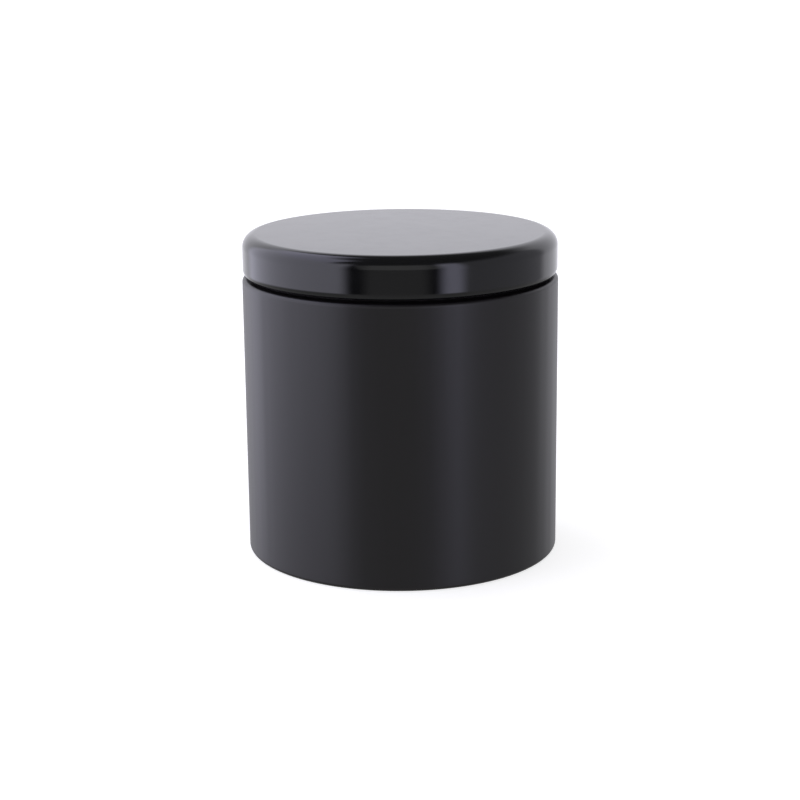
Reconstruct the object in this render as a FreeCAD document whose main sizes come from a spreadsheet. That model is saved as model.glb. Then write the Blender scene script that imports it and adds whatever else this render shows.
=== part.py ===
"""Candle tin: a drawn metal can with a slip lid, filled with a container candle.

Frame: millimetres, +Z up, origin at the centre of the foot ring, on the surface that the tin stands on.
Every piece is turned about Z. The can and the lid are sheet metal: each begins as a solid form, is
hollowed to the sheet's thickness, and ends in an edge that is curled over so that it isn't sharp.
"""

import FreeCAD, Part
import math
import os
import re
import Sketcher

V = FreeCAD.Vector

# Sketcher's numbers for a sketch's own origin and axes, and for the ends of a line or an arc
ORIGIN = -1
X_AXIS = -1
Z_AXIS = -2
START = 1
END = 2

LEFT = 1  # an arc that turns left as its outline is followed
RIGHT = -1
SAME = 1e-6

# Driving dimensions: millimetres, and degrees for an angle
SIZES = {
    "total_height": 82.5,  # from the foot ring to the top of the closed lid
    "sheet": 0.3,  # thickness of the metal of the can and the lid
    # the can
    "body_radius": 40.2,
    "foot_bend": 1.0,  # rounding between the wall and the foot ring
    "recess_radius": 36.4,  # the base panel, which is raised inside the foot ring
    "recess_depth": 1.2,
    "recess_bend": 0.5,
    "shoulder_height": 71.3,
    "shoulder_bend": 1.0,  # rounding of the shoulder's outer edge
    "neck_radius": 37.75,  # the neck that the lid slides over
    "neck_bend": 0.8,  # rounding of the corner between the shoulder and the neck
    "rim_height": 81.2,  # where the neck starts to curl inward
    "rim_curl": 0.7,  # outer radius of the curl at the mouth
    "rim_tail": 0.5,  # straight end of the curl
    # the lid
    "lid_radius": 40.0,
    "skirt_height": 8.77,  # from the start of the lid's curled edge to its top
    "lid_bend": 3.4,  # rounding of the lid's top edge
    "tuck_radius": 2.5,  # first, wide bend of the lid's curled edge
    "tuck_angle": 25,
    "lid_curl": 0.92,  # second, tight bend, which hides the cut edge
    # the wax
    "wax_level": 61.5,
    "wax_gap": 0.1,  # shrinkage gap between the wax and the metal
    "meniscus_width": 1.4,  # where the wax climbs the wall and the wick
    "meniscus_height": 0.7,
    # the wick and its sustainer
    "wick_radius": 1.3,
    "wick_length": 66.3,
    "wick_tip_bend": 0.4,
    "core_radius": 0.6,
    "core_length": 65.9,
    "fit_gap": 0.03,  # clearance round the wick, its core and the sustainer
    "tab_radius": 10,
    "tab_sheet": 0.3,
    "tab_bend": 0.8,  # rounding between the tab's disc and its collar
    "collar_wall": 0.4,
    "collar_height": 6,
    "crimp_bottom": 2.4,  # flats pressed into the collar to grip the wick
    "crimp_height": 2.4,
    "crimp_depth": 0.2,
    "pad_radius": 9.5,
    "pad_thickness": 0.8,
}


def make_sheet(doc):
    """Put the driving dimensions in the document's spreadsheet, one aliased cell each."""
    sheet = doc.addObject("Spreadsheet::Sheet", "Sizes")
    for row, (alias, value) in enumerate(SIZES.items(), start=1):
        sheet.set(f"A{row}", str(value))
        sheet.setAlias(f"A{row}", alias)
    doc.recompute()


def formula(text):
    """Write a formula's size names as references to the spreadsheet."""
    return re.sub(r"[a-z_]+", lambda word: f"Sizes.{word[0]}" if word[0] in SIZES else word[0], text)


def value_of(doc, text):
    return float(doc.Sizes.evalExpression(formula(text)))


def origin_plane(body, role):
    return next(part for part in body.Origin.OriginFeatures if part.Role == role)


def constrain(sketch, kind, *where, size):
    """Add a dimension and bind it to a formula."""
    value = value_of(sketch.Document, size)
    index = sketch.addConstraint(Sketcher.Constraint(kind, *where, value))
    sketch.setExpression(f"Constraints[{index}]", formula(size))


def place_point(sketch, side, end, x, z):
    """Fix one end of a side at (x, z), two formulas; a zero puts it on the sketch's axis."""
    if x == "0":
        sketch.addConstraint(Sketcher.Constraint("PointOnObject", side, end, Z_AXIS))
    else:
        constrain(sketch, "DistanceX", ORIGIN, START, side, end, size=x)
    if z == "0":
        sketch.addConstraint(Sketcher.Constraint("PointOnObject", side, end, X_AXIS))
    else:
        constrain(sketch, "DistanceY", ORIGIN, START, side, end, size=z)


def short_arc(start, end, radius, turn):
    """Arc of less than half a turn between two points."""
    chord = end - start
    left = V(-chord.y, chord.x, 0).normalize()
    rise = radius - math.sqrt(radius**2 - (chord.Length / 2) ** 2)
    return Part.Arc(start, (start + end) / 2 - left * turn * rise, end)


def outline(body, name, corners):
    """Closed sketch in the body's XZ plane, bound to the spreadsheet: a list of corners in order.

    A corner is (x, z), two formulas. Where the side from it to the next corner is an arc, it is
    (x, z, radius, turn), with turn LEFT or RIGHT.
    """
    sketch = body.newObject("Sketcher::SketchObject", name)
    sketch.AttachmentSupport = (origin_plane(body, "XZ_Plane"), [""])
    sketch.MapMode = "FlatFace"
    points = [V(*(value_of(body.Document, size) for size in corner[:2]), 0) for corner in corners]
    ends = []
    for side, corner in enumerate(corners):
        start = points[side]
        end = points[(side + 1) % len(points)]
        if len(corner) == 2:
            sketch.addGeometry(Part.LineSegment(start, end), False)
            ends.append((START, END))
        else:
            turn = corner[3]
            sketch.addGeometry(short_arc(start, end, value_of(body.Document, corner[2]), turn), False)
            ends.append((START, END) if turn == LEFT else (END, START))
    for side, corner in enumerate(corners):
        following = (side + 1) % len(corners)
        joined = (side, ends[side][1], following, ends[following][0])
        sketch.addConstraint(Sketcher.Constraint("Coincident", *joined))
        place_point(sketch, side, ends[side][0], corner[0], corner[1])
        if len(corner) > 2:
            constrain(sketch, "Radius", side, size=corner[2])
    body.Document.recompute()
    return sketch


def turned(body, name, sketch, kind="PartDesign::Revolution"):
    """Turn a sketch once about Z, adding to the body or, as a Groove, cutting it."""
    feature = body.newObject(kind, name)
    feature.Profile = sketch
    feature.ReferenceAxis = (sketch, ["V_Axis"])
    feature.Angle = 360
    body.Document.recompute()
    return feature


def ring_edges(feature, rings):
    """Names of a feature's circular edges about Z, each ring given as (radius, height) formulas."""
    wanted = [tuple(value_of(feature.Document, size) for size in ring) for ring in rings]
    names = []
    for number, edge in enumerate(feature.Shape.Edges, start=1):
        if edge.Curve.TypeId != "Part::GeomCircle":
            continue
        found = (edge.Curve.Radius, edge.Curve.Center.z)
        if any(math.dist(found, ring) < SAME for ring in wanted):
            names.append(f"Edge{number}")
    return names


def rounded(body, name, base, rings, radius):
    """Round the circular edges that rings names."""
    feature = body.newObject("PartDesign::Fillet", name)
    feature.Base = (base, ring_edges(base, rings))
    feature.setExpression("Radius", formula(radius))
    body.Document.recompute()
    return feature


def hollowed(body, name, base, open_height):
    """Hollow a form inward to the sheet's thickness, open at its flat face at this height."""
    height = value_of(body.Document, open_height)
    faces = [
        f"Face{number}"
        for number, face in enumerate(base.Shape.Faces, start=1)
        if face.Surface.TypeId == "Part::GeomPlane" and abs(face.CenterOfMass.z - height) < SAME
    ]
    feature = body.newObject("PartDesign::Thickness", name)
    feature.Base = (base, faces)
    feature.setExpression("Value", formula("sheet"))
    feature.Reversed = True
    body.Document.recompute()
    return feature


def check_cut(before, after):
    """Stop if a cutting feature has removed nothing."""
    if after.Shape.Volume > before.Shape.Volume - SAME:
        raise RuntimeError(f"{after.Label} cuts nothing")


def new_body(doc, name, height="0"):
    """A sub-part whose own zero lies at this height in the tin."""
    body = doc.addObject("PartDesign::Body", name)
    body.Label = name
    body.setExpression("Placement.Base.z", formula(height))
    return body


def new_cylinder(doc, name, radius, length, height):
    cylinder = doc.addObject("Part::Cylinder", name)
    cylinder.Label = name
    cylinder.setExpression("Radius", formula(radius))
    cylinder.setExpression("Height", formula(length))
    cylinder.setExpression("Placement.Base.z", formula(height))
    return cylinder


def make_tin_body(doc):
    """One-piece can: foot ring, raised base panel, wall, shoulder, neck and curled rim."""
    body = new_body(doc, "tin_body")
    form_outline = outline(body, "form_outline", [
        ("0", "0"),
        ("body_radius", "0"),
        ("body_radius", "shoulder_height"),
        ("neck_radius", "shoulder_height"),
        ("neck_radius", "rim_height"),
        ("0", "rim_height"),
    ])
    form = turned(body, "form", form_outline)
    recess_outline = outline(body, "recess_outline", [
        ("0", "0"),
        ("recess_radius", "0"),
        ("recess_radius", "recess_depth"),
        ("0", "recess_depth"),
    ])
    recess = turned(body, "base_recess", recess_outline, "PartDesign::Groove")
    check_cut(form, recess)

    recess_rings = [("recess_radius", "0"), ("recess_radius", "recess_depth")]
    shoulder_ring = ("body_radius", "shoulder_height")
    neck_ring = ("neck_radius", "shoulder_height")
    foot = rounded(body, "foot_rounding", recess, [("body_radius", "0")], "foot_bend")
    panel = rounded(body, "panel_bends", foot, recess_rings, "recess_bend")
    shoulder = rounded(body, "shoulder_rounding", panel, [shoulder_ring], "shoulder_bend")
    neck = rounded(body, "neck_rounding", shoulder, [neck_ring], "neck_bend")
    hollowed(body, "walls", neck, "rim_height")

    inner_curl = "rim_curl - sheet"
    rim_outline = outline(body, "rim_outline", [
        ("neck_radius", "rim_height", "rim_curl", LEFT),
        ("neck_radius - rim_curl", "rim_height + rim_curl", "rim_curl", LEFT),
        ("neck_radius - 2 * rim_curl", "rim_height"),
        ("neck_radius - 2 * rim_curl", "rim_height - rim_tail"),
        ("neck_radius - 2 * rim_curl + sheet", "rim_height - rim_tail"),
        ("neck_radius - 2 * rim_curl + sheet", "rim_height", inner_curl, RIGHT),
        ("neck_radius - rim_curl", "rim_height + rim_curl - sheet", inner_curl, RIGHT),
        ("neck_radius - sheet", "rim_height"),
    ])
    turned(body, "curled_rim", rim_outline)
    return body


def make_lid(doc):
    """Slip lid: flat top, rounded edge, short skirt and an edge curled in below it."""
    body = new_body(doc, "lid", "total_height - skirt_height")
    form_outline = outline(body, "form_outline", [
        ("0", "0"),
        ("lid_radius", "0"),
        ("lid_radius", "skirt_height"),
        ("0", "skirt_height"),
    ])
    form = turned(body, "form", form_outline)
    top = rounded(body, "top_rounding", form, [("lid_radius", "skirt_height")], "lid_bend")
    hollowed(body, "walls", top, "0")

    # The edge first bends in through tuck_angle about the tuck's centre, and then goes on round the
    # curl's centre until it ends straight above it, at three quarters of a turn in all.
    tuck_x = "(lid_radius - tuck_radius)"
    across = "cos(tuck_angle)"
    down = "sin(tuck_angle)"
    curl_x = f"({tuck_x} + (tuck_radius - lid_curl) * {across})"
    curl_z = f"((lid_curl - tuck_radius) * {down})"
    inner_tuck = "(tuck_radius - sheet)"
    inner_curl = "(lid_curl - sheet)"
    edge_outline = outline(body, "edge_outline", [
        ("lid_radius", "0", "tuck_radius", RIGHT),
        (f"{tuck_x} + tuck_radius * {across}", f"-tuck_radius * {down}", "lid_curl", RIGHT),
        (curl_x, f"{curl_z} - lid_curl", "lid_curl", RIGHT),
        (f"{curl_x} - lid_curl", curl_z, "lid_curl", RIGHT),
        (curl_x, f"{curl_z} + lid_curl"),
        (curl_x, f"{curl_z} + {inner_curl}", inner_curl, LEFT),
        (f"{curl_x} - {inner_curl}", curl_z, inner_curl, LEFT),
        (curl_x, f"{curl_z} - {inner_curl}", inner_curl, LEFT),
        (f"{tuck_x} + {inner_tuck} * {across}", f"-{inner_tuck} * {down}", inner_tuck, LEFT),
        ("lid_radius - sheet", "0"),
    ])
    turned(body, "curled_edge", edge_outline)
    return body


def make_wax_fill(doc):
    """Poured wax: it fills the can round the foot channel, and leaves room for the wick and its tab."""
    body = new_body(doc, "wax_fill", "recess_depth + sheet")
    wall_x = "body_radius - sheet - wax_gap"
    channel_x = "recess_radius + sheet + wax_gap"
    channel_z = "wax_gap - recess_depth"
    foot_bend = "(foot_bend - sheet - wax_gap)"
    level = "wax_level - recess_depth - sheet"
    tab_x = "tab_radius + fit_gap"
    tab_z = "pad_thickness + tab_sheet + fit_gap"
    collar_x = "wick_radius + collar_wall + 2 * fit_gap"
    collar_z = "pad_thickness + collar_height + fit_gap"
    tab_bend = "(tab_bend - fit_gap)"
    wick_x = "wick_radius + fit_gap"
    meniscus = "(meniscus_width^2 + meniscus_height^2) / (2 * meniscus_height)"
    profile = outline(body, "profile", [
        (tab_x, "0"),
        (channel_x, "0"),
        (channel_x, channel_z),
        (f"{wall_x} - {foot_bend}", channel_z, foot_bend, LEFT),
        (wall_x, f"{channel_z} + {foot_bend}"),
        (wall_x, f"{level} + meniscus_height", meniscus, RIGHT),
        (f"{wall_x} - meniscus_width", level),
        (f"{wick_x} + meniscus_width", level, meniscus, RIGHT),
        (wick_x, f"{level} + meniscus_height"),
        (wick_x, collar_z),
        (collar_x, collar_z),
        (collar_x, f"{tab_z} + {tab_bend}", tab_bend, LEFT),
        (f"{collar_x} + {tab_bend}", tab_z),
        (tab_x, tab_z),
    ])
    turned(body, "poured_wax", profile)
    return body


def make_wick_sustainer(doc):
    """Pressed tab: a disc with a collar that is crimped on two sides to grip the wick."""
    body = new_body(doc, "wick_sustainer", "recess_depth + sheet + pad_thickness")
    bore_x = "wick_radius + fit_gap"
    collar_x = "wick_radius + fit_gap + collar_wall"
    profile = outline(body, "profile", [
        (bore_x, "0"),
        ("tab_radius", "0"),
        ("tab_radius", "tab_sheet"),
        (f"{collar_x} + tab_bend", "tab_sheet", "tab_bend", RIGHT),
        (collar_x, "tab_sheet + tab_bend"),
        (collar_x, "collar_height"),
        (bore_x, "collar_height"),
    ])
    tab = turned(body, "tab", profile)

    flat = outline(body, "crimp_outline", [
        (f"{collar_x} - crimp_depth", "crimp_bottom"),
        (f"{collar_x} + crimp_depth", "crimp_bottom"),
        (f"{collar_x} + crimp_depth", "crimp_bottom + crimp_height"),
        (f"{collar_x} - crimp_depth", "crimp_bottom + crimp_height"),
    ])
    crimp = body.newObject("PartDesign::Pocket", "crimp")
    crimp.Profile = flat
    crimp.Midplane = True
    crimp.setExpression("Length", formula(f"2 * ({collar_x})"))
    doc.recompute()
    check_cut(tab, crimp)

    crimps = body.newObject("PartDesign::Mirrored", "crimps")
    crimps.Originals = [crimp]
    crimps.MirrorPlane = (origin_plane(body, "YZ_Plane"), [""])
    body.Tip = crimps
    doc.recompute()
    check_cut(crimp, crimps)
    return body


def make_wick_braid(doc):
    """Braided cotton sleeve of the wick, from the adhesive pad to the trimmed tip."""
    body = new_body(doc, "wick_braid", "recess_depth + sheet + pad_thickness")
    bore_x = "core_radius + fit_gap"
    profile = outline(body, "profile", [
        (bore_x, "0"),
        ("wick_radius", "0"),
        ("wick_radius", "wick_length"),
        (bore_x, "wick_length"),
    ])
    sleeve = turned(body, "sleeve", profile)
    rounded(body, "tip_rounding", sleeve, [("wick_radius", "wick_length")], "wick_tip_bend")
    return body


def make_wick_core(doc):
    """Paper core that keeps the wick upright."""
    tab_z = "recess_depth + sheet + pad_thickness"
    return new_cylinder(doc, "wick_core", "core_radius", "core_length", tab_z)


def make_sustainer_pad(doc):
    """Double-sided adhesive pad that fixes the sustainer to the base."""
    return new_cylinder(doc, "sustainer_pad", "pad_radius", "pad_thickness", "recess_depth + sheet")


def check_document(doc, pieces):
    """Stop if any object has failed or any piece isn't one sound solid."""
    for item in doc.Objects:
        if "Invalid" in item.State or "Error" in item.State:
            raise RuntimeError(f"{item.Label} failed: {item.State}")
    for piece in pieces:
        shape = piece.Shape
        if shape.isNull() or not shape.isValid() or len(shape.Solids) != 1:
            raise RuntimeError(f"{piece.Label} isn't one sound solid")


def main():
    doc = FreeCAD.newDocument("candle_tin")
    make_sheet(doc)
    makers = [
        make_tin_body,
        make_lid,
        make_wax_fill,
        make_wick_braid,
        make_wick_core,
        make_wick_sustainer,
        make_sustainer_pad,
    ]
    pieces = [make(doc) for make in makers]
    doc.recompute()
    check_document(doc, pieces)
    os.makedirs("parts", exist_ok=True)
    for piece in pieces:
        piece.Shape.exportStep(f"parts/{piece.Label}.step")
        print(f"{piece.Label}: {piece.Shape.Volume:.1f} mm3")


main()
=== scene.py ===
"""Candle tin: the looks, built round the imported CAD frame. Metres, +Z up, the front faces -Y.

The can and the lid are drawn sheet metal, so each is turned from a bent strip as thick as the sheet.
The wax, the braided wick, the paints and the studio are made here too.
"""

import math
import random

import bmesh
import bpy
from mathutils import Matrix, Vector, noise


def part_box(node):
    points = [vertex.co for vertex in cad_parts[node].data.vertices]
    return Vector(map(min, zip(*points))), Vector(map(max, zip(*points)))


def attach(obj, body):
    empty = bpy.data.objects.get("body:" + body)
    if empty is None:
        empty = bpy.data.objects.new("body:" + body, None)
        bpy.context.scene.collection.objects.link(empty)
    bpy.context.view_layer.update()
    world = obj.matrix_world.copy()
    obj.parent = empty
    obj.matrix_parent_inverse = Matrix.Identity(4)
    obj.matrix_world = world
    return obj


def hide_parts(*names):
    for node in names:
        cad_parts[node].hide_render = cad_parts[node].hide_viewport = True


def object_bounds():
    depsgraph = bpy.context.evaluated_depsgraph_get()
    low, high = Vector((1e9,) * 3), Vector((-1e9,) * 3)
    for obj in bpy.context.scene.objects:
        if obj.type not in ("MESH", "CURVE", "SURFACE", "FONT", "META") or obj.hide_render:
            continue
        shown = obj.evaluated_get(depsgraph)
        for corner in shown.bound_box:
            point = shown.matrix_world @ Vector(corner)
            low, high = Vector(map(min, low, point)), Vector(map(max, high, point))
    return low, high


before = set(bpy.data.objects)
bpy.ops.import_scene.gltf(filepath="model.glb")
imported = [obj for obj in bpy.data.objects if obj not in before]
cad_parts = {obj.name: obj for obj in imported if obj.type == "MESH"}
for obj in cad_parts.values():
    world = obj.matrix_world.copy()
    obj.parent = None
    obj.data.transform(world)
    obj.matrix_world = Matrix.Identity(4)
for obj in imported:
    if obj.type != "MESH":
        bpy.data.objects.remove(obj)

CAD_LOW, CAD_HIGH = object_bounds()
SCENE = bpy.context.scene

MM = 0.001
TURN = 2 * math.pi
SEGMENTS = 256  # round a turned piece
BEND_STEP = 9  # degrees between the points of a bend, at most
BEND_CHORD = 0.15 * MM  # distance between them, at most
CUT_EDGE = (0.8, 1.57, 2.34)  # radians at which the points of a sheet's rounded cut edge lie
TINY = 1e-9


def least_reach(node):
    """How far a CAD node's box reaches from the Z axis on the side where it reaches least."""
    low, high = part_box(node)
    return min(-low.x, -low.y, high.x, high.y)


# The can
SHEET = 0.3 * MM
CAN_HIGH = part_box("tin_body")[1]
BODY_RADIUS = least_reach("tin_body")
RIM_TOP = CAN_HIGH.z
FOOT_BEND = 1.0 * MM
RECESS_RADIUS = 36.4 * MM
RECESS_DEPTH = 1.2 * MM
RECESS_BEND = 0.5 * MM
SHOULDER_HEIGHT = 71.3 * MM
SHOULDER_BEND = 1.0 * MM
NECK_RADIUS = 37.75 * MM
NECK_BEND = 0.8 * MM
RIM_CURL = 0.7 * MM
RIM_TAIL = 0.5 * MM

# The lid
LID_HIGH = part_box("lid")[1]
LID_RADIUS = least_reach("lid")
LID_TOP = LID_HIGH.z
LID_BEND = 3.4 * MM
SKIRT_HEIGHT = 8.77 * MM
TUCK_RADIUS = 2.5 * MM
TUCK_ANGLE = 25
LID_CURL = 0.92 * MM
LID_CURL_ANGLE = 245

# The candle
FIT_GAP = 0.03 * MM
WAX_GAP = 0.1 * MM
WAX_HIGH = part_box("wax_fill")[1]
WAX_RADIUS = least_reach("wax_fill")
MENISCUS_WIDTH = 1.4 * MM
MENISCUS_HEIGHT = 0.7 * MM
WAX_LEVEL = WAX_HIGH.z - MENISCUS_HEIGHT
WAX_FLOOR = RECESS_DEPTH + SHEET
TAB_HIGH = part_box("wick_sustainer")[1]
TAB_SHEET = 0.3 * MM
TAB_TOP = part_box("wick_sustainer")[0].z + TAB_SHEET  # of its flat part, round the collar
COLLAR_RADIUS = 1.73 * MM
WICK_LOW, WICK_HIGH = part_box("wick_braid")
MENISCUS_STEPS = 8
WAX_RINGS = 44  # across the open top of the wax
WAX_SEGMENTS = 192  # round it
DISH_DEPTH = 0.45 * MM  # how far the wax sinks at the wick
DISH_RADIUS = 9 * MM  # where about a third of that depth is left
SWELL = (14 * MM, 0.16 * MM)  # size and height of the top's broad unevenness
RIPPLE = (3 * MM, 0.02 * MM)  # the same for its fine unevenness
SHRINK = 0.1 * MM  # how far the open top sinks as a whole
CLING = 3 * MM  # width beside the can in which the top rises back to the wall
STRANDS = 4  # that wind each way
BRAID_PITCH = 6.2 * MM
BRAID_STEPS = 32  # points of a strand in each turn round the wick
YARN_WIDE = 0.5 * MM
YARN_THICK = 0.15 * MM
WEAVE = 0.16 * MM  # how far a strand goes in and out as it crosses the others
TRIM = 0.35 * MM  # how unevenly the tip is cut
TRIM_SEED = 7


# ---------------------------------------------------------------- mesh making


class Strip:
    """A strip of sheet metal, bent as its outer face is followed in (radius, height).

    side is +1 where the sheet lies to the left of the way that is followed, and -1 to the right.
    """

    def __init__(self, start, side):
        self.place = Vector(start)
        self.ahead = Vector((1, 0))
        self.side = side
        self.outer = []
        self.inner = []
        self.note()

    def note(self):
        """Add a point to both faces of the sheet."""
        across = Vector((-self.ahead.y, self.ahead.x)) * self.side
        self.outer.append(self.place.copy())
        self.inner.append(self.place + across * SHEET)

    def run(self, length, parts=1):
        for _ in range(parts):
            self.place = self.place + self.ahead * (length / parts)
            self.note()
        return self

    def bend(self, radius, turn):
        """Turn through this many degrees, positive to the left."""
        arc = math.radians(abs(turn)) * radius
        steps = math.ceil(max(abs(turn) / BEND_STEP, arc / BEND_CHORD))
        half = Matrix.Rotation(math.radians(turn / steps) / 2, 2)
        chord = 2 * radius * math.sin(math.radians(abs(turn) / steps) / 2)
        for _ in range(steps):
            self.ahead = half @ self.ahead
            self.place = self.place + self.ahead * chord
            self.ahead = half @ self.ahead
            self.note()
        return self

    def section(self):
        """The section's points, and for each side of it the material: 0 outside, 1 inside."""
        middle = (self.outer[-1] + self.inner[-1]) / 2
        spoke = self.outer[-1] - middle
        tip = self.ahead * spoke.length
        cut_edge = [middle + spoke * math.cos(a) + tip * math.sin(a) for a in CUT_EDGE]
        points = self.outer + cut_edge + self.inner[::-1]
        slots = [0] * (len(self.outer) + 1) + [1] * (len(self.inner) + 1)
        return points, slots


def link_mesh(name, mesh):
    """Make an object of a bmesh, with its faces turned outward and smooth."""
    bmesh.ops.recalc_face_normals(mesh, faces=mesh.faces)
    for face in mesh.faces:
        face.smooth = True
    data = bpy.data.meshes.new(name)
    mesh.to_mesh(data)
    mesh.free()
    made = bpy.data.objects.new(name, data)
    SCENE.collection.objects.link(made)
    return made


def lathe(name, points, slots=None, closed=False, segments=SEGMENTS):
    """Turn (radius, height) points about Z. A point on the axis is one vertex."""
    mesh = bmesh.new()
    angles = [TURN * step / segments for step in range(segments)]
    rings = []
    for radius, height in points:
        if radius < TINY:
            rings.append([mesh.verts.new((0, 0, height))])
        else:
            ring = [(radius * math.cos(a), radius * math.sin(a), height) for a in angles]
            rings.append([mesh.verts.new(place) for place in ring])
    pairs = list(zip(rings, rings[1:]))
    if closed:
        pairs.append((rings[-1], rings[0]))
    for number, (low, high) in enumerate(pairs):
        for step in range(segments):
            corners = [low[step % len(low)], low[(step + 1) % len(low)]]
            corners += [high[(step + 1) % len(high)], high[step % len(high)]]
            face = mesh.faces.new(dict.fromkeys(corners))
            face.material_index = slots[number] if slots else 0
    return link_mesh(name, mesh)


def even_shading(piece):
    """Keep a flat stretch's own normal right up to the bend beside it."""
    weighted = piece.modifiers.new("even_shading", "WEIGHTED_NORMAL")
    weighted.mode = "FACE_AREA"


def tube(mesh, centres, wide, thick, sides=10):
    """Flat yarn along the centres: its thin way faces the Z axis."""
    rings = []
    for step, centre in enumerate(centres):
        before = centres[max(step - 1, 0)]
        after = centres[min(step + 1, len(centres) - 1)]
        along = (after - before).normalized()
        outward = Vector((centre.x, centre.y, 0)).normalized()
        sideways = along.cross(outward).normalized()
        ring = []
        for side in range(sides):
            angle = TURN * side / sides
            ring.append(mesh.verts.new(
                centre + sideways * wide * math.cos(angle) + outward * thick * math.sin(angle)
            ))
        rings.append(ring)
    for low, high in zip(rings, rings[1:]):
        for side in range(sides):
            following = (side + 1) % sides
            mesh.faces.new((low[side], low[following], high[following], high[side]))
    mesh.faces.new(rings[0])
    mesh.faces.new(rings[-1])


# ---------------------------------------------------------------- materials

USUAL_NOISE = (0.3, 0.7)  # where most of a noise texture's values lie


class Paint:
    """A material with its shader, and short ways to make the nodes that feed it."""

    def __init__(self, name, **fixed):
        self.material = bpy.data.materials.new(name)
        self.material.use_nodes = True
        self.nodes = self.material.node_tree.nodes
        self.links = self.material.node_tree.links
        self.shader = self.nodes["Principled BSDF"]
        for socket, value in fixed.items():
            self.shader.inputs[socket.replace("_", " ")].default_value = value

    def node(self, kind, **inputs):
        made = self.nodes.new(kind)
        for name, value in inputs.items():
            socket = made.inputs[name.replace("_", " ")]
            if isinstance(value, bpy.types.NodeSocket):
                self.links.new(value, socket)
            else:
                socket.default_value = value
        return made

    def place(self, stretch=(1, 1, 1)):
        """The piece's own coordinates in metres, stretched along its axes."""
        own = self.node("ShaderNodeTexCoord").outputs["Object"]
        return self.node("ShaderNodeMapping", Vector=own, Scale=stretch).outputs["Vector"]

    def turned_place(self):
        """(distance from Z, height): the same all the way round, so noise makes turning lines."""
        from_axis = self.node("ShaderNodeVectorMath", Vector=self.place((1, 1, 0)))
        from_axis.operation = "LENGTH"
        height = self.node("ShaderNodeSeparateXYZ", Vector=self.place()).outputs["Z"]
        return self.node("ShaderNodeCombineXYZ", X=from_axis.outputs["Value"], Y=height).outputs["Vector"]

    def noise(self, place, scale, detail=3.0):
        return self.node("ShaderNodeTexNoise", Vector=place, Scale=scale, Detail=detail).outputs["Fac"]

    def spread(self, value, low, high):
        """Map a noise's usual range to low..high."""
        start, end = USUAL_NOISE
        return self.node(
            "ShaderNodeMapRange", Value=value, From_Min=start, From_Max=end, To_Min=low, To_Max=high
        ).outputs["Result"]

    def colour(self, factor, first, second):
        """Feed the base colour with a mix of two colours."""
        ramp = self.node("ShaderNodeValToRGB", Fac=factor)
        ramp.color_ramp.elements[0].color = (*first, 1)
        ramp.color_ramp.elements[1].color = (*second, 1)
        self.feed("Base Color", ramp.outputs["Color"])

    def relief(self, height, depth):
        """Feed the normal with a bump of this depth in metres."""
        bump = self.node("ShaderNodeBump", Height=height, Distance=depth)
        self.feed("Normal", bump.outputs["Normal"])

    def feed(self, socket, source):
        self.links.new(source, self.shader.inputs[socket])


def gloss_black():
    """Hard gloss lacquer on the lid: deep black with a trace of orange peel."""
    paint = Paint("gloss_black", IOR=1.5)
    paint.colour(paint.noise(paint.place(), 90), (0.0022, 0.0022, 0.0026), (0.0034, 0.0034, 0.0038))
    paint.feed("Roughness", paint.spread(paint.noise(paint.place(), 260), 0.10, 0.15))
    paint.relief(paint.noise(paint.place(), 420, detail=1), 0.0015 * MM)
    return paint.material


def satin_black():
    """Satin enamel on the can: fine grain, and faint upright streaks from drawing the wall."""
    paint = Paint("satin_black", IOR=1.5)
    streaks = paint.noise(paint.place((1, 1, 0.02)), 260)
    paint.colour(streaks, (0.0038, 0.0031, 0.0037), (0.0050, 0.0040, 0.0048))
    paint.feed("Roughness", paint.spread(streaks, 0.35, 0.41))
    paint.relief(paint.noise(paint.place(), 5200, detail=2), 0.004 * MM)
    return paint.material


def tinplate():
    """Bare drawn tinplate inside the can and the lid."""
    paint = Paint("tinplate", Metallic=1.0)
    lines = paint.noise(paint.turned_place(), 1400, detail=1)
    paint.colour(lines, (0.68, 0.68, 0.67), (0.75, 0.75, 0.74))
    paint.feed("Roughness", paint.spread(lines, 0.30, 0.38))
    paint.relief(lines, 0.001 * MM)
    return paint.material


def soy_wax():
    """Poured wax: soft, slightly translucent, with faint frosting."""
    paint = Paint("soy_wax", Subsurface_Weight=0.45, Subsurface_Radius=(0.9, 0.7, 0.5),
                  Subsurface_Scale=3 * MM, IOR=1.44)
    frosting = paint.noise(paint.place(), 150, detail=6)
    paint.colour(frosting, (0.86, 0.79, 0.66), (0.92, 0.87, 0.77))
    paint.feed("Roughness", paint.spread(frosting, 0.38, 0.55))
    paint.relief(paint.noise(paint.place(), 700, detail=5), 0.02 * MM)
    return paint.material


def waxed_cotton():
    paint = Paint("waxed_cotton", Subsurface_Weight=0.2, Subsurface_Scale=0.5 * MM)
    fibres = paint.noise(paint.place((1, 1, 0.3)), 9000, detail=4)
    paint.colour(fibres, (0.66, 0.60, 0.48), (0.86, 0.82, 0.72))
    paint.feed("Roughness", paint.spread(fibres, 0.55, 0.8))
    paint.relief(fibres, 0.03 * MM)
    return paint.material


def paper():
    paint = Paint("twisted_paper")
    fibres = paint.noise(paint.place((1, 1, 0.2)), 6000, detail=4)
    paint.colour(fibres, (0.70, 0.66, 0.58), (0.84, 0.81, 0.74))
    paint.feed("Roughness", paint.spread(fibres, 0.75, 0.9))
    paint.relief(fibres, 0.02 * MM)
    return paint.material


def pressed_steel():
    paint = Paint("pressed_steel", Metallic=1.0)
    lines = paint.noise(paint.place((1, 0.05, 1)), 3000)
    paint.colour(lines, (0.50, 0.50, 0.51), (0.62, 0.62, 0.63))
    paint.feed("Roughness", paint.spread(lines, 0.28, 0.42))
    paint.relief(lines, 0.005 * MM)
    return paint.material


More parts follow.
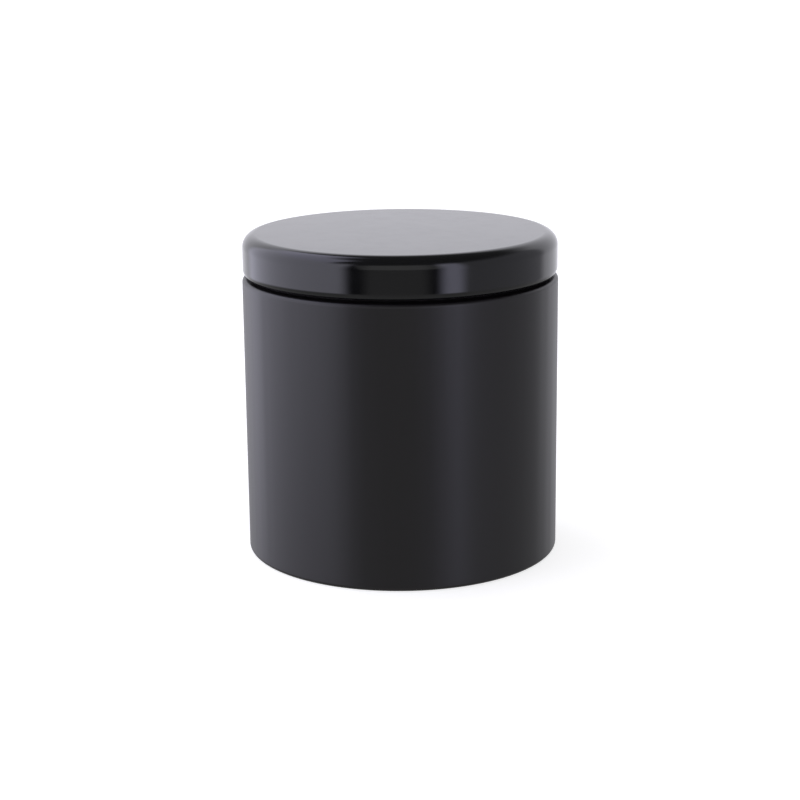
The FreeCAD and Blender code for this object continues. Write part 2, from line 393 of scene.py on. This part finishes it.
def adhesive():
    paint = Paint("adhesive_foam")
    cells = paint.noise(paint.place(), 3500, detail=2)
    paint.colour(cells, (0.72, 0.72, 0.69), (0.84, 0.84, 0.81))
    paint.feed("Roughness", paint.spread(cells, 0.7, 0.85))
    paint.relief(cells, 0.05 * MM)
    return paint.material


def floor_card():
    paint = Paint("floor_card", Specular_IOR_Level=0.2, Emission_Color=(1, 1, 1, 1), Emission_Strength=0.72)
    fibres = paint.noise(paint.place(), 40)
    paint.colour(fibres, (0.48, 0.48, 0.48), (0.5, 0.5, 0.5))
    paint.feed("Roughness", paint.spread(fibres, 0.8, 0.9))
    return paint.material


# ---------------------------------------------------------------- the can and the lid


def make_can():
    strip = Strip((0, RECESS_DEPTH), side=1)
    strip.run(RECESS_RADIUS - RECESS_BEND, parts=12).bend(RECESS_BEND, -90)
    strip.run(RECESS_DEPTH - 2 * RECESS_BEND).bend(RECESS_BEND, 90)
    strip.run(BODY_RADIUS - FOOT_BEND - RECESS_RADIUS - RECESS_BEND, parts=3).bend(FOOT_BEND, 90)
    strip.run(SHOULDER_HEIGHT - FOOT_BEND - SHOULDER_BEND, parts=24).bend(SHOULDER_BEND, 90)
    strip.run(BODY_RADIUS - SHOULDER_BEND - NECK_RADIUS - NECK_BEND).bend(NECK_BEND, -90)
    strip.run(RIM_TOP - RIM_CURL - SHOULDER_HEIGHT - NECK_BEND, parts=4).bend(RIM_CURL, 180)
    strip.run(RIM_TAIL)
    can = lathe("can", *strip.section())
    even_shading(can)
    can.data.materials.append(satin_black())
    can.data.materials.append(tinplate())
    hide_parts("tin_body")
    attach(can, "can")


def make_lid():
    strip = Strip((0, LID_TOP), side=-1)
    strip.run(LID_RADIUS - LID_BEND, parts=12).bend(LID_BEND, -90)
    strip.run(SKIRT_HEIGHT - LID_BEND, parts=4).bend(TUCK_RADIUS, -TUCK_ANGLE)
    strip.bend(LID_CURL, -LID_CURL_ANGLE)
    lid = lathe("slip_lid", *strip.section())
    even_shading(lid)
    lid.data.materials.append(gloss_black())
    lid.data.materials.append(tinplate())
    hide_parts("lid")
    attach(lid, "lid")


# ---------------------------------------------------------------- the candle


def meniscus(wall, inward):
    """(radius, height) points where the wax climbs a wall; inward is the way to the open wax, +1 or -1."""
    points = []
    for step in range(MENISCUS_STEPS + 1):
        part = step / MENISCUS_STEPS
        points.append((wall + inward * MENISCUS_WIDTH * part, WAX_LEVEL + MENISCUS_HEIGHT * (1 - part) ** 2))
    return points


def make_wax():
    wick_wall = WICK_HIGH.x - YARN_THICK  # within the outer strands, so that no gap shows round the wick
    channel = RECESS_RADIUS + SHEET + WAX_GAP
    pocket = [
        (wick_wall, TAB_HIGH.z + FIT_GAP),
        (COLLAR_RADIUS + FIT_GAP, TAB_HIGH.z + FIT_GAP),
        (COLLAR_RADIUS + FIT_GAP, TAB_TOP + FIT_GAP),
        (TAB_HIGH.x + FIT_GAP, TAB_TOP + FIT_GAP),
        (TAB_HIGH.x + FIT_GAP, WAX_FLOOR),
    ]
    outside = [
        (channel, WAX_FLOOR),
        (channel, SHEET + WAX_GAP),
        (WAX_RADIUS - FOOT_BEND, SHEET + WAX_GAP),
        (WAX_RADIUS, SHEET + FOOT_BEND),
    ]
    inner_edge = meniscus(wick_wall, 1)
    outer_edge = meniscus(WAX_RADIUS, -1)
    first, last = inner_edge[-1][0], outer_edge[-1][0]
    top = [(first + (last - first) * ring / WAX_RINGS, WAX_LEVEL) for ring in range(1, WAX_RINGS)]
    points = pocket + outside + outer_edge + top[::-1] + inner_edge[::-1]
    wax = lathe("wax_candle", points, closed=True, segments=WAX_SEGMENTS)
    settle(wax)
    wax.data.materials.append(soy_wax())
    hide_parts("wax_fill")
    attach(wax, "can")


def settle(wax):
    """Dish the wax a little round the wick and make its top slightly uneven, as wax sets."""
    for vertex in wax.data.vertices:
        place = vertex.co
        if place.z < WAX_LEVEL - TINY:
            continue
        from_wick = math.hypot(place.x, place.y)
        dish = DISH_DEPTH * math.exp(-((from_wick / DISH_RADIUS) ** 2))
        unevenness = sum(noise.noise(place / size) * height for size, height in (SWELL, RIPPLE))
        from_wall = min(1, (WAX_RADIUS - from_wick) / CLING)
        place.z += (unevenness - SHRINK) * from_wall - dish


def make_wick():
    """Two sets of flat strands that wind opposite ways and pass over and under each other."""
    chance = random.Random(TRIM_SEED)
    mesh = bmesh.new()
    middle = WICK_HIGH.x - YARN_THICK - WEAVE
    for hand in (1, -1):
        for strand in range(STRANDS):
            top = WICK_HIGH.z - chance.uniform(0, TRIM)
            steps = round((top - WICK_LOW.z) / BRAID_PITCH * BRAID_STEPS)
            centres = []
            for step in range(steps + 1):
                height = WICK_LOW.z + (top - WICK_LOW.z) * step / steps
                wound = TURN * (height - WICK_LOW.z) / BRAID_PITCH
                angle = TURN * strand / STRANDS + hand * wound
                radius = middle + hand * WEAVE * math.cos(STRANDS * wound)
                centres.append(Vector((radius * math.cos(angle), radius * math.sin(angle), height)))
            tube(mesh, centres, YARN_WIDE, YARN_THICK)
    wick = link_mesh("braided_wick", mesh)
    wick.data.materials.append(waxed_cotton())
    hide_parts("wick_braid")
    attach(wick, "can")


def dress_hidden_parts():
    """The pieces that the wax and the braid cover keep their CAD shape."""
    paints = {
        "wick_core": paper(),
        "wick_sustainer": pressed_steel(),
        "sustainer_pad": adhesive(),
    }
    for node, material in paints.items():
        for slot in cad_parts[node].material_slots:
            slot.material = material


# ---------------------------------------------------------------- the studio

# Plain panels round the object, side by side from straight behind it: (name, bearing in degrees from
# the front at which it ends, positive to the right; brightness; coolness)
WALLS = (
    ("back_wall", -140, 1.1, 0.3),
    ("left_softbox", -40, 1.9, 0.7),
    ("left_black_card", -25, 0.02, 0.0),
    ("camera_side", 20, 0.3, 0.0),
    ("right_black_card", 30, 0.02, 0.0),
    ("strip_softbox", 46, 2.0, 1.0),
    ("right_wall", 125, 0.5, 0.4),
    ("back_wall", 180, 1.1, 0.3),
)
# Above them the left softbox leans in, and the rest is dark, as it is straight overhead
CEILING = (
    ("dark", -155, 0.1, 0.0),
    ("left_softbox", -60, 2.0, 1.0),
    ("dark", 180, 0.1, 0.0),
)
FLOOR_GLOW = 0.4
OVERHEAD = 0.1
BRIGHTEST = 3.0  # the brightness that a full colour in the ramps stands for
COOL = (0.92, 0.91, 1.15)  # tint of the cool lights
SOFT_EDGE = 8  # degrees over which a panel gives way to the next
# Degrees above the horizon between which one gives way to the next
FLOOR_TO_WALLS = (-26, -11)
WALLS_TO_CEILING = (30, 50)
CEILING_TO_OVERHEAD = (60, 74)
# The numbers of a mix node's sockets for colours, which share their names with those for numbers
MIX_FACTOR, MIX_FIRST, MIX_SECOND = 0, 6, 7
MIX_RESULT = 2
FLOOR_SIZE = 6.0


class Sky:
    """The world's nodes: a colour for each direction, from its bearing and its height."""

    def __init__(self):
        world = bpy.data.worlds.new("studio")
        SCENE.world = world
        world.use_nodes = True
        self.nodes = world.node_tree.nodes
        self.links = world.node_tree.links
        self.nodes.clear()
        direction = self.nodes.new("ShaderNodeTexCoord").outputs["Generated"]
        split = self.nodes.new("ShaderNodeSeparateXYZ")
        self.links.new(direction, split.inputs["Vector"])
        self.height = split.outputs["Z"]
        towards_front = self.math("MULTIPLY", split.outputs["Y"], -1)
        bearing = self.math("ARCTAN2", split.outputs["X"], towards_front)
        self.part_turn = self.spread(bearing, -math.pi, math.pi)

    def math(self, operation, first, second):
        made = self.nodes.new("ShaderNodeMath")
        made.operation = operation
        self.links.new(first, made.inputs[0])
        if isinstance(second, bpy.types.NodeSocket):
            self.links.new(second, made.inputs[1])
        else:
            made.inputs[1].default_value = second
        return made.outputs["Value"]

    def spread(self, value, low, high, kind="LINEAR"):
        """Map low..high to 0..1."""
        made = self.nodes.new("ShaderNodeMapRange")
        made.interpolation_type = kind
        made.inputs["From Min"].default_value = low
        made.inputs["From Max"].default_value = high
        self.links.new(value, made.inputs["Value"])
        return made.outputs["Result"]

    def ring(self, panels):
        """Colour by bearing, from panels side by side with soft edges."""
        ramp = self.nodes.new("ShaderNodeValToRGB")
        elements = ramp.color_ramp.elements
        elements.remove(elements[-1])
        begins = -180
        for _, ends, brightness, coolness in panels:
            tint = [1 + (part - 1) * coolness for part in COOL]
            for degrees in (begins + SOFT_EDGE / 2, ends - SOFT_EDGE / 2):
                element = elements.new(degrees / 360 + 0.5)
                element.color = (*(part * brightness / BRIGHTEST for part in tint), 1)
            begins = ends
        elements.remove(elements[0])
        self.links.new(self.part_turn, ramp.inputs["Fac"])
        return ramp.outputs["Color"]

    def plain(self, brightness):
        made = self.nodes.new("ShaderNodeRGB")
        made.outputs["Color"].default_value = (*(brightness / BRIGHTEST,) * 3, 1)
        return made.outputs["Color"]

    def stack(self, below, above, degrees):
        """Give way from one colour to another between two heights in degrees."""
        low, high = (math.sin(math.radians(limit)) for limit in degrees)
        mix = self.nodes.new("ShaderNodeMix")
        mix.data_type = "RGBA"
        part_above = self.spread(self.height, low, high, "SMOOTHSTEP")
        self.links.new(part_above, mix.inputs[MIX_FACTOR])
        self.links.new(below, mix.inputs[MIX_FIRST])
        self.links.new(above, mix.inputs[MIX_SECOND])
        return mix.outputs[MIX_RESULT]

    def background(self, colour, strength):
        made = self.nodes.new("ShaderNodeBackground")
        made.inputs["Strength"].default_value = strength
        if isinstance(colour, bpy.types.NodeSocket):
            self.links.new(colour, made.inputs["Color"])
        else:
            made.inputs["Color"].default_value = colour
        return made.outputs["Background"]


def make_studio():
    """Soft light all round from walls, ceiling and floor, and a plain white background for the camera."""
    sky = Sky()
    room = sky.stack(sky.plain(FLOOR_GLOW), sky.ring(WALLS), FLOOR_TO_WALLS)
    room = sky.stack(room, sky.ring(CEILING), WALLS_TO_CEILING)
    room = sky.stack(room, sky.plain(OVERHEAD), CEILING_TO_OVERHEAD)
    choice = sky.nodes.new("ShaderNodeMixShader")
    seen = sky.nodes.new("ShaderNodeLightPath").outputs["Is Camera Ray"]
    sky.links.new(seen, choice.inputs[0])
    sky.links.new(sky.background(room, BRIGHTEST), choice.inputs[1])
    sky.links.new(sky.background((1, 1, 1, 1), 1), choice.inputs[2])
    out = sky.nodes.new("ShaderNodeOutputWorld")
    sky.links.new(choice.outputs["Shader"], out.inputs["Surface"])


def make_floor():
    """A white card, lit from within a little so that the object's shadow stays faint."""
    mesh = bmesh.new()
    bmesh.ops.create_grid(mesh, x_segments=8, y_segments=8, size=FLOOR_SIZE)
    floor = link_mesh("floor", mesh)
    floor.data.materials.append(floor_card())
    floor.visible_glossy = False


def make_softbox(name, place, aim, size, power, glossy):
    """A rectangular light, in metres and watts. glossy says whether reflections show it."""
    light = bpy.data.lights.new(name, "AREA")
    light.shape = "RECTANGLE"
    light.size, light.size_y = size
    light.energy = power
    box = bpy.data.objects.new(name, light)
    box.location = place
    box.rotation_mode = "QUATERNION"
    box.rotation_quaternion = (Vector(aim) - Vector(place)).to_track_quat("-Z", "Y")
    box.visible_camera = False
    box.visible_glossy = glossy
    SCENE.collection.objects.link(box)


def make_lights():
    """A softbox overhead, and one above the camera that the lid's rounded edge mirrors."""
    middle = Vector((0, 0, LID_TOP / 2))
    make_softbox("overhead", (0, 0.1, 1.2), middle, size=(0.8, 0.8), power=5, glossy=False)
    make_softbox("over_camera", (0, -0.75, 0.36), middle, size=(0.9, 0.5), power=0.5, glossy=True)


# The camera looks at the middle of the object from the front, a little above it
DISTANCE = 0.483
ELEVATION = 13.95  # degrees
ROLL = 0.56  # degrees
SENSOR = 36  # mm
LENS = 83.9  # mm
SHIFT = (-0.0017, -0.0149)  # of the picture's width


def make_camera():
    centre = (CAD_LOW + CAD_HIGH) / 2
    tilt = math.radians(ELEVATION)
    data = bpy.data.cameras.new("camera")
    data.lens = LENS
    data.sensor_width = SENSOR
    data.shift_x, data.shift_y = SHIFT
    data.clip_start = 0.01
    data.clip_end = 30
    camera = bpy.data.objects.new("camera", data)
    away = Vector((0, -math.cos(tilt), math.sin(tilt))) * DISTANCE
    upright = Matrix.Rotation(math.pi / 2 - tilt, 4, "X") @ Matrix.Rotation(-math.radians(ROLL), 4, "Z")
    camera.matrix_world = Matrix.Translation(centre + away) @ upright
    SCENE.collection.objects.link(camera)
    SCENE.camera = camera


make_can()
make_lid()
make_wax()
make_wick()
dress_hidden_parts()
make_studio()
make_floor()
make_lights()
make_camera()
SCENE.view_settings.view_transform = "Standard"
